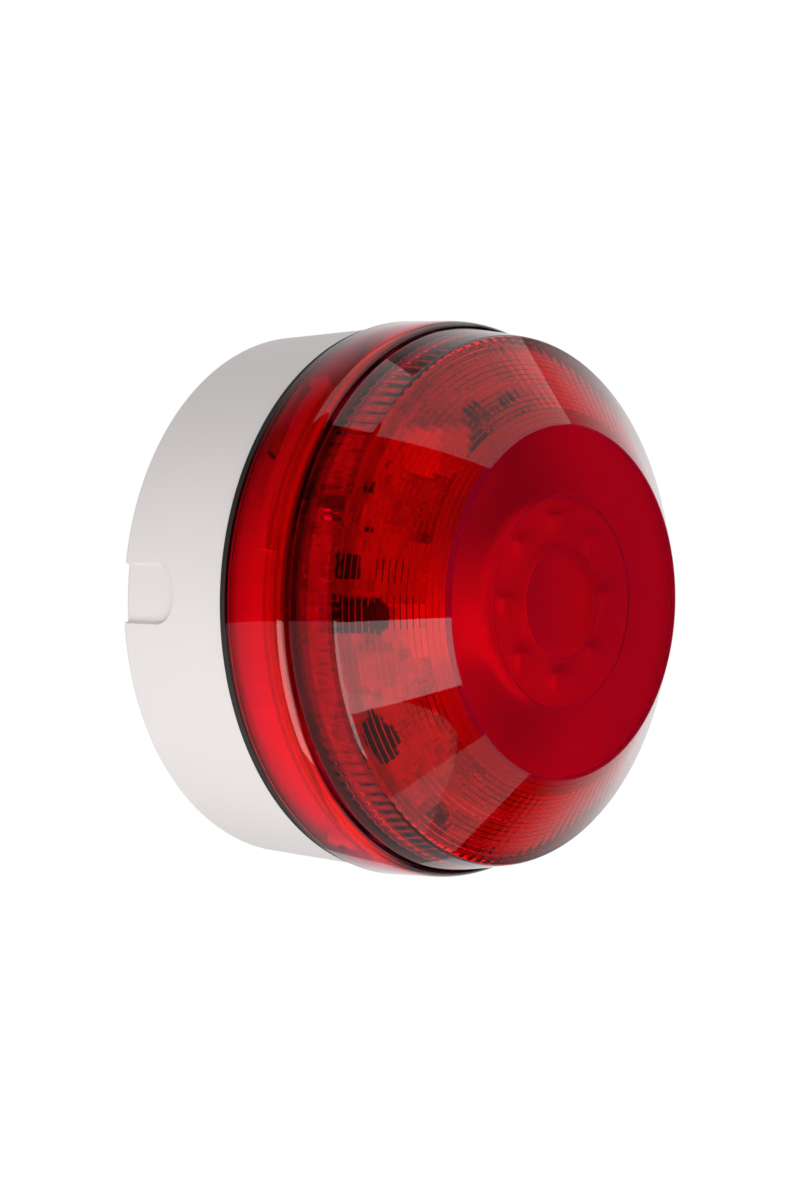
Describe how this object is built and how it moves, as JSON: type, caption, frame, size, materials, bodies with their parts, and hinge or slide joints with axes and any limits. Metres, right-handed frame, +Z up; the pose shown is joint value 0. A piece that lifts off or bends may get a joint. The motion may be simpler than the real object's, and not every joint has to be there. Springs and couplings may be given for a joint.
{
  "type": "horn strobe",
  "caption": "Round wall-mounted horn strobe: white drum base, red twist-off lens over an LED turret, piezo horn inside, rear cable entry.",
  "frame": {"origin": "centre of the base's flat back face, on the wall", "axes": "+Y into the wall, -Y out into the room, +Z up, +X to the right as seen from the room"},
  "size_m": [0.098, 0.0622, 0.098],
  "materials": {
    "white_plastic": "satin",
    "white_solder_mask": "satin",
    "red_lens": "clear red polycarbonate, polished",
    "black_rubber": "matt",
    "steel": "zinc plated",
    "black_plastic": "satin",
    "capacitor_sleeve": "satin",
    "ferrite": "matt",
    "brass": "satin",
    "terminal_green": "satin",
    "switch_blue": "satin",
    "switch_white": "satin",
    "led_body": "gloss",
    "red_wire": "satin",
    "black_wire": "satin"
  },
  "bodies": {
    "base": {"board_screw_1": "steel", "board_screw_2": "steel", "board_screw_3": "steel", "cable_grommet": "black_rubber", "centre_optic": "led_body", "chassis": "white_plastic", "chassis_screw_1": "steel", "chassis_screw_2": "steel", "chassis_screw_3": "steel", "driver_chip": "black_plastic", "filter_capacitor": "capacitor_sleeve", "horn_lead_black": "black_wire", "horn_lead_red": "red_wire", "horn_transformer": "black_plastic", "main_board": "white_solder_mask", "mode_switch": "switch_blue", "mounting_base": "white_plastic", "piezo_diaphragm": "brass", "power_inductor": "ferrite", "rectifier": "black_plastic", "reservoir_capacitor": "capacitor_sleeve", "side_led_1_1": "led_body", "side_led_1_2": "led_body", "side_led_1_3": "led_body", "side_led_1_4": "led_body", "side_led_1_5": "led_body", "side_led_1_6": "led_body", "side_led_2_1": "led_body", "side_led_2_2": "led_body", "side_led_2_3": "led_body", "side_led_2_4": "led_body", "side_led_2_5": "led_body", "side_led_2_6": "led_body", "sounder_case": "black_plastic", "sounder_horn": "black_plastic", "terminal_block": "terminal_green", "top_board": "white_solder_mask", "top_led_1": "led_body", "top_led_2": "led_body", "top_led_3": "led_body", "top_led_4": "led_body", "top_led_5": "led_body", "top_led_6": "led_body", "top_led_7": "led_body", "top_led_8": "led_body", "turret_board": "white_solder_mask", "volume_trimmer": "switch_blue"},
    "seal": {"seal_ring": "black_rubber"},
    "lens": {"lens": "red_lens"},
    "mode_slider_1": {"mode_slider_1": "switch_white"},
    "mode_slider_2": {"mode_slider_2": "switch_white"},
    "mode_slider_3": {"mode_slider_3": "switch_white"},
    "mode_slider_4": {"mode_slider_4": "switch_white"},
    "terminal_screw_1": {"terminal_screw_1": "steel"},
    "terminal_screw_2": {"terminal_screw_2": "steel"},
    "terminal_screw_3": {"terminal_screw_3": "steel"},
    "terminal_screw_4": {"terminal_screw_4": "steel"},
    "volume_rotor": {"volume_rotor": "switch_white"}
  },
  "joints": [
    {"name": "seal_rise", "type": "slide", "parent": "base", "child": "seal", "axis": [0, -1, 0], "range_m": [0, 0.0028]},
    {"name": "lens_twist", "type": "hinge", "parent": "seal", "child": "lens", "pos_m": [0, -0.03, 0], "axis": [0, -1, 0], "range_deg": [0, 45]},
    {"name": "mode_slide_1", "type": "slide", "parent": "base", "child": "mode_slider_1", "axis": [0, 0, 1], "range_m": [0, 0.0014]},
    {"name": "mode_slide_2", "type": "slide", "parent": "base", "child": "mode_slider_2", "axis": [0, 0, 1], "range_m": [0, 0.0014]},
    {"name": "mode_slide_3", "type": "slide", "parent": "base", "child": "mode_slider_3", "axis": [0, 0, 1], "range_m": [0, 0.0014]},
    {"name": "mode_slide_4", "type": "slide", "parent": "base", "child": "mode_slider_4", "axis": [0, 0, 1], "range_m": [0, 0.0014]},
    {"name": "terminal_turn_1", "type": "hinge", "parent": "base", "child": "terminal_screw_1", "pos_m": [0.027, -0.04, -0.0075], "axis": [0, -1, 0], "range_deg": [0, 720]},
    {"name": "terminal_turn_2", "type": "hinge", "parent": "base", "child": "terminal_screw_2", "pos_m": [0.027, -0.04, -0.0025], "axis": [0, -1, 0], "range_deg": [0, 720]},
    {"name": "terminal_turn_3", "type": "hinge", "parent": "base", "child": "terminal_screw_3", "pos_m": [0.027, -0.04, 0.0025], "axis": [0, -1, 0], "range_deg": [0, 720]},
    {"name": "terminal_turn_4", "type": "hinge", "parent": "base", "child": "terminal_screw_4", "pos_m": [0.027, -0.04, 0.0075], "axis": [0, -1, 0], "range_deg": [0, 720]},
    {"name": "volume_turn", "type": "hinge", "parent": "base", "child": "volume_rotor", "pos_m": [0.024, -0.036, -0.0175], "axis": [0, -1, 0], "range_deg": [-130, 130]}
  ],
  "couplings": [
    {"joint": "seal_rise", "follows": "lens_twist", "m_per_rad": 0.0034377}
  ]
}
